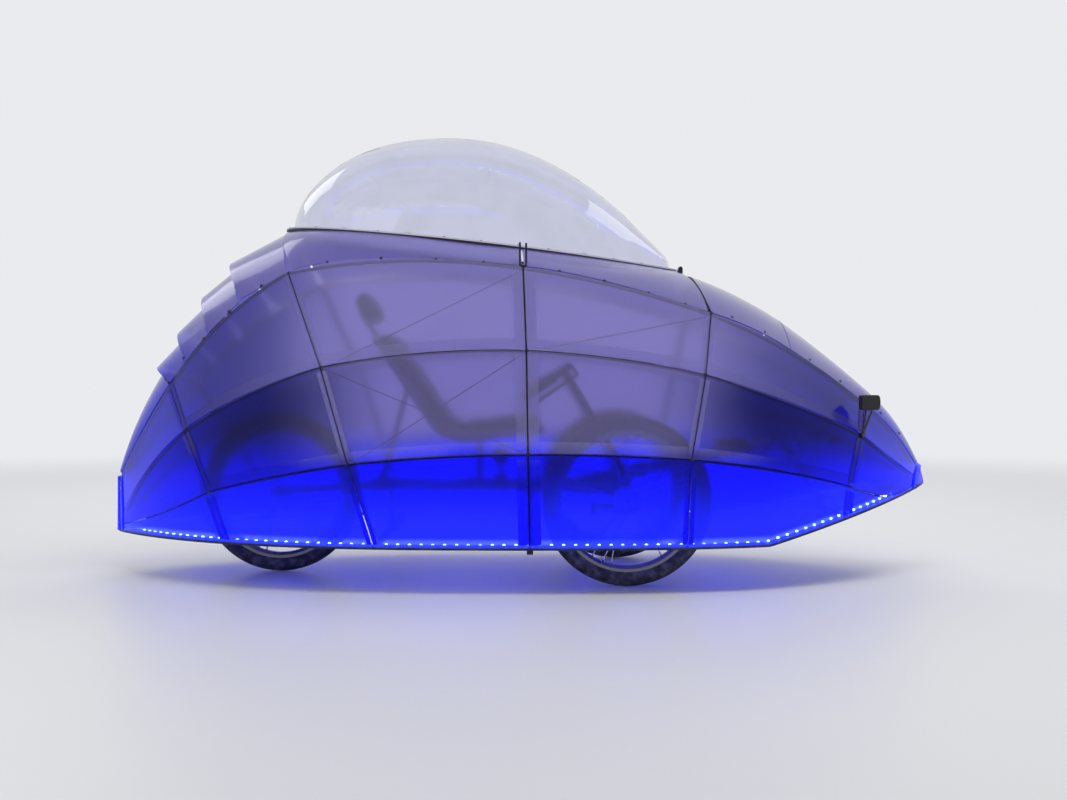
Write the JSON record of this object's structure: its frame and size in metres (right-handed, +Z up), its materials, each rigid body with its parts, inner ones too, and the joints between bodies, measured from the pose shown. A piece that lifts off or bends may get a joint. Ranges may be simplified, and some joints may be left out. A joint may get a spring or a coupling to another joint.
{
  "type": "velomobile",
  "caption": "Enclosed recumbent tadpole trike with a translucent ribbed boat-shaped shell, a lit lower rail and a clear hinged bubble canopy.",
  "frame": {"origin": "on the floor below the middle of the overall box", "axes": "+X forwards to the nose, +Y to the rider's left, +Z up"},
  "size_m": [2.534, 1.2154, 1.3551],
  "materials": {
    "frosted_skin": "frosted translucent sheet",
    "clear_canopy": "clear blown acrylic",
    "pale_rim": "pale acrylic edge",
    "black_rod": "pultruded rod",
    "black_rail": "satin black",
    "blue_light": "lit blue strip",
    "frame_paint": "satin grey",
    "tyre_rubber": "black tyre",
    "rim_alloy": "dark anodised",
    "hub_steel": "machined",
    "black_bar": "satin black",
    "grip_rubber": "ribbed grip",
    "black_plastic": "moulded",
    "seat_fabric": "woven cover"
  },
  "bodies": {
    "chassis": {"bottom_rail": "black_rail", "brace_wires": "black_rod", "canopy_hinge": "black_rail", "canopy_sill": "black_rail", "canopy_surround": "frosted_skin", "chain": "hub_steel", "chain_pulleys": "black_plastic", "deck_panels": "frosted_skin", "front_boom": "frame_paint", "headrest": "seat_fabric", "lamp_boxes": "black_plastic", "lamp_stalks": "black_bar", "lattice_hubs": "black_rod", "light_strip": "blue_light", "lower_skins": "frosted_skin", "middle_skins": "frosted_skin", "nose_cone": "frosted_skin", "rear_axle": "hub_steel", "rear_louvres": "frosted_skin", "ribs": "black_rod", "seam_straps": "frosted_skin", "seat_frame": "frame_paint", "seat_pad": "seat_fabric", "shell_cross_tubes": "black_rail", "stringers": "black_rod", "tail_block": "black_rail", "tail_cap": "frosted_skin", "trike_frame": "frame_paint", "upper_skins": "frosted_skin"},
    "canopy": {"canopy_bubble": "clear_canopy", "canopy_rim": "pale_rim"},
    "steer_right": {"grip_right": "grip_rubber", "handlebar_right": "black_bar", "knuckle_right": "black_bar"},
    "steer_left": {"grip_left": "grip_rubber", "handlebar_left": "black_bar", "knuckle_left": "black_bar"},
    "tie_rod": {"tie_rod": "black_bar"},
    "wheel_front_right": {"front_wheel_right_hub": "hub_steel", "front_wheel_right_rim": "rim_alloy", "front_wheel_right_tyre": "tyre_rubber"},
    "wheel_front_left": {"front_wheel_left_hub": "hub_steel", "front_wheel_left_rim": "rim_alloy", "front_wheel_left_tyre": "tyre_rubber"},
    "wheel_rear": {"rear_wheel_hub": "hub_steel", "rear_wheel_rim": "rim_alloy", "rear_wheel_tyre": "tyre_rubber"},
    "crank": {"crankset": "hub_steel", "pedals": "black_plastic"}
  },
  "joints": [
    {"name": "steer_right", "type": "hinge", "parent": "chassis", "child": "steer_right", "pos_m": [0.315, -0.285, 0.267], "axis": [0, 0, 1], "range_deg": [-28, 28]},
    {"name": "steer_left", "type": "hinge", "parent": "chassis", "child": "steer_left", "pos_m": [0.315, 0.285, 0.267], "axis": [0, 0, 1], "range_deg": [-28, 28]},
    {"name": "tie_rod_pivot", "type": "hinge", "parent": "steer_right", "child": "tie_rod", "pos_m": [0.22, -0.285, 0.2107], "axis": [0, 0, 1], "range_deg": [-28, 28]},
    {"name": "front_wheel_right_spin", "type": "hinge", "parent": "steer_right", "child": "wheel_front_right", "pos_m": [0.315, -0.36, 0.25], "axis": [0, 1, 0], "continuous": true},
    {"name": "front_wheel_left_spin", "type": "hinge", "parent": "steer_left", "child": "wheel_front_left", "pos_m": [0.315, 0.36, 0.25], "axis": [0, 1, 0], "continuous": true},
    {"name": "rear_wheel_spin", "type": "hinge", "parent": "chassis", "child": "wheel_rear", "pos_m": [-0.752, 0, 0.25], "axis": [0, 1, 0], "continuous": true},
    {"name": "crank_spin", "type": "hinge", "parent": "chassis", "child": "crank", "pos_m": [0.81, 0, 0.41], "axis": [0, 1, 0], "continuous": true},
    {"name": "canopy_open", "type": "hinge", "parent": "chassis", "child": "canopy", "pos_m": [0.50091, 0, 0.94834], "axis": [0, 1, 0], "range_deg": [0, 60]}
  ],
  "couplings": [
    {"joint": "steer_left", "follows": "steer_right", "ratio": 1},
    {"joint": "tie_rod_pivot", "follows": "steer_right", "ratio": -1}
  ]
}
